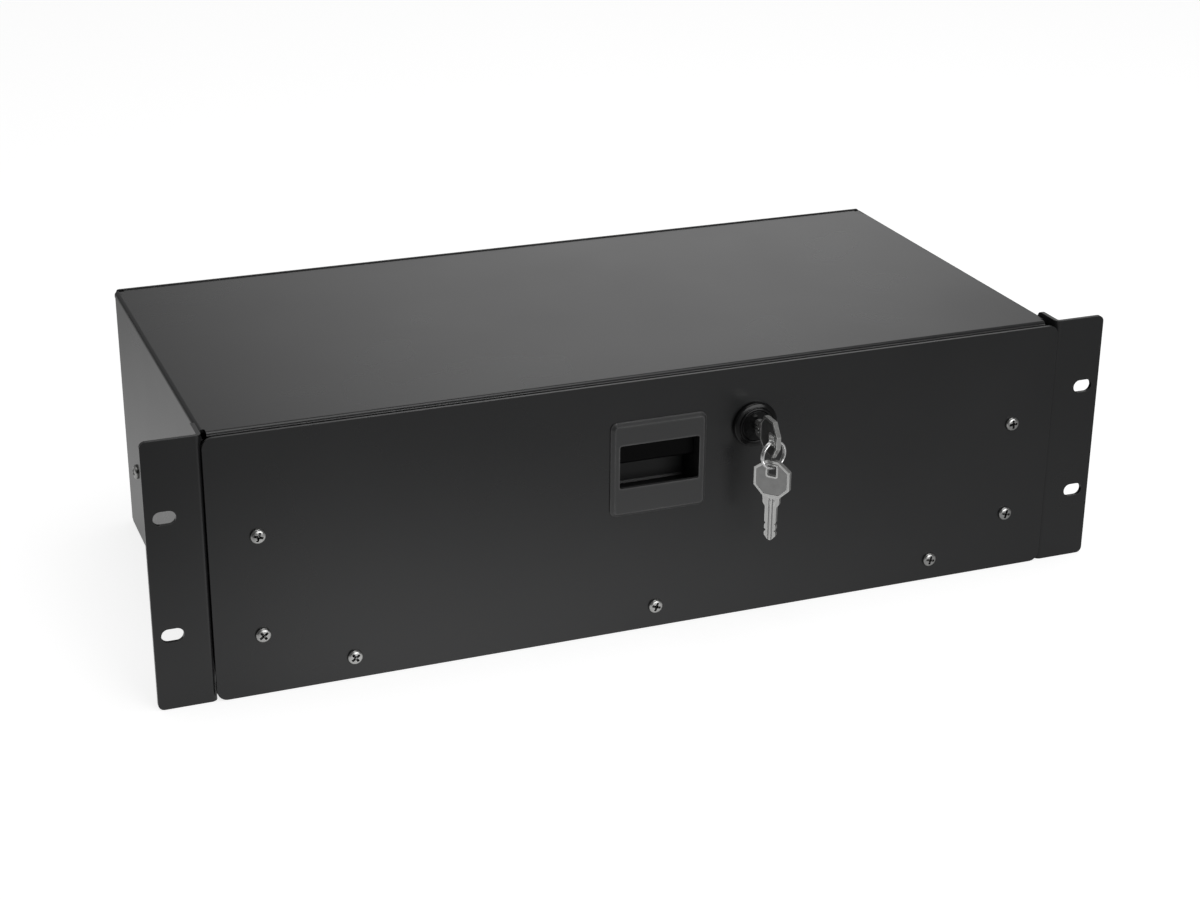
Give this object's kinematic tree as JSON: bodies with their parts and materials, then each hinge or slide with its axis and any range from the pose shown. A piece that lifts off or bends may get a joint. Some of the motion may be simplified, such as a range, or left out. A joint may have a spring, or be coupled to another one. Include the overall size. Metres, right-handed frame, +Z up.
{
  "type": "rack drawer",
  "caption": "Lockable 3U steel drawer for a 19-inch equipment rack, with slotted ears, nested ball slides, a paddle latch and a key lock.",
  "frame": {"origin": "centre of the four rack slots, on the rear faces of the ears, where they lie on the rack rails", "axes": "+X to the right seen from the front, +Y towards the rear of the rack, +Z up"},
  "size_m": [0.4826, 0.2434, 0.1304],
  "materials": {
    "powder_coat_black": "semi-gloss smooth black powder coat",
    "tray_black": "semi-gloss smooth black powder coat",
    "slide_steel": "cold-rolled, bright zinc plated",
    "ball_steel": "polished bearing steel",
    "rivet_black": "black, semi-gloss",
    "screw_steel": "nickel-plated steel",
    "moulded_black": "fine-grained black glass-filled nylon",
    "paddle_black": "fine-grained black glass-filled nylon",
    "pin_steel": "ground steel",
    "bolt_zinc": "zinc plated steel",
    "spring_steel": "drawn spring steel",
    "lock_black": "glossy black",
    "lock_zinc": "zinc plated",
    "key_nickel": "nickel plated",
    "ring_steel": "bright nickel-plated spring steel"
  },
  "bodies": {
    "case": {"case_shell": "powder_coat_black", "case_rear_rivets": "rivet_black", "ear_bracket_left": "powder_coat_black", "ear_bracket_right": "powder_coat_black", "ear_rivets_left": "rivet_black", "ear_rivets_right": "rivet_black", "slide_outer_left": "slide_steel", "slide_outer_right": "slide_steel", "slide_case_screws_left": "screw_steel", "slide_case_screws_right": "screw_steel"},
    "drawer": {"tray": "tray_black", "tray_rear_rivets": "rivet_black", "front_panel": "powder_coat_black", "panel_side_screws": "screw_steel", "panel_bottom_screws": "screw_steel", "panel_clinch_nuts": "screw_steel", "slide_inner_left": "slide_steel", "slide_inner_right": "slide_steel", "slide_tray_screws_left": "screw_steel", "slide_tray_screws_right": "screw_steel", "latch_housing": "moulded_black", "paddle_pin": "pin_steel", "latch_spring": "spring_steel", "latch_back_cover": "moulded_black", "latch_cover_screws": "screw_steel", "lock_body": "lock_black", "lock_washer": "lock_zinc", "lock_nut": "lock_zinc"},
    "middle_left": {"slide_middle_left": "slide_steel"},
    "middle_right": {"slide_middle_right": "slide_steel"},
    "outer_cage_left": {"ball_cage_outer_left": "slide_steel", "balls_outer_left": "ball_steel"},
    "outer_cage_right": {"ball_cage_outer_right": "slide_steel", "balls_outer_right": "ball_steel"},
    "inner_cage_left": {"ball_cage_inner_left": "slide_steel", "balls_inner_left": "ball_steel"},
    "inner_cage_right": {"ball_cage_inner_right": "slide_steel", "balls_inner_right": "ball_steel"},
    "paddle": {"latch_paddle": "paddle_black"},
    "bolt": {"latch_bolt": "bolt_zinc"},
    "plug": {"lock_plug": "lock_black", "lock_cam": "lock_zinc", "cam_screw": "screw_steel"},
    "key": {"key_inserted": "key_nickel"},
    "ring": {"key_ring": "ring_steel"},
    "spare": {"key_spare": "key_nickel"}
  },
  "joints": [
    {"name": "drawer_slide", "type": "slide", "parent": "case", "child": "drawer", "axis": [0, -1, 0], "range_m": [0, 0.18]},
    {"name": "middle_slide_left", "type": "slide", "parent": "case", "child": "middle_left", "axis": [0, -1, 0], "range_m": [0, 0.09]},
    {"name": "outer_cage_slide_left", "type": "slide", "parent": "case", "child": "outer_cage_left", "axis": [0, -1, 0], "range_m": [0, 0.045]},
    {"name": "inner_cage_slide_left", "type": "slide", "parent": "case", "child": "inner_cage_left", "axis": [0, -1, 0], "range_m": [0, 0.135]},
    {"name": "middle_slide_right", "type": "slide", "parent": "case", "child": "middle_right", "axis": [0, -1, 0], "range_m": [0, 0.09]},
    {"name": "outer_cage_slide_right", "type": "slide", "parent": "case", "child": "outer_cage_right", "axis": [0, -1, 0], "range_m": [0, 0.045]},
    {"name": "inner_cage_slide_right", "type": "slide", "parent": "case", "child": "inner_cage_right", "axis": [0, -1, 0], "range_m": [0, 0.135]},
    {"name": "paddle_hinge", "type": "hinge", "parent": "drawer", "child": "paddle", "pos_m": [0, 0.004, 0.037], "axis": [-1, 0, 0], "range_deg": [0, 20]},
    {"name": "bolt_slide", "type": "slide", "parent": "drawer", "child": "bolt", "axis": [0, 0, -1], "range_m": [0, 0.00478], "stiffness_N_per_m": 400, "springref_m": -0.003, "deforming": ["latch_spring"]},
    {"name": "lock_turn", "type": "hinge", "parent": "drawer", "child": "plug", "pos_m": [0.0493, -0.0066, 0.0343], "axis": [0, -1, 0], "range_deg": [0, 90]},
    {"name": "key_withdraw", "type": "slide", "parent": "plug", "child": "key", "axis": [0, -1, 0], "range_m": [0, 0.018]},
    {"name": "ring_swing", "type": "hinge", "parent": "key", "child": "ring", "pos_m": [0.0493, -0.0251, 0.03335], "axis": [-0.9703, -0.2419, 0], "range_deg": [-10, 60]},
    {"name": "spare_swing", "type": "hinge", "parent": "ring", "child": "spare", "pos_m": [0.0493, -0.0251, 0.02015], "axis": [-0.9703, -0.2419, 0], "range_deg": [-12, 30]}
  ],
  "couplings": [
    {"joint": "middle_slide_left", "follows": "drawer_slide", "ratio": 0.5},
    {"joint": "outer_cage_slide_left", "follows": "drawer_slide", "ratio": 0.25},
    {"joint": "inner_cage_slide_left", "follows": "drawer_slide", "ratio": 0.75},
    {"joint": "middle_slide_right", "follows": "drawer_slide", "ratio": 0.5},
    {"joint": "outer_cage_slide_right", "follows": "drawer_slide", "ratio": 0.25},
    {"joint": "inner_cage_slide_right", "follows": "drawer_slide", "ratio": 0.75},
    {"joint": "paddle_hinge", "follows": "bolt_slide", "rad_per_m": 73.026}
  ]
}
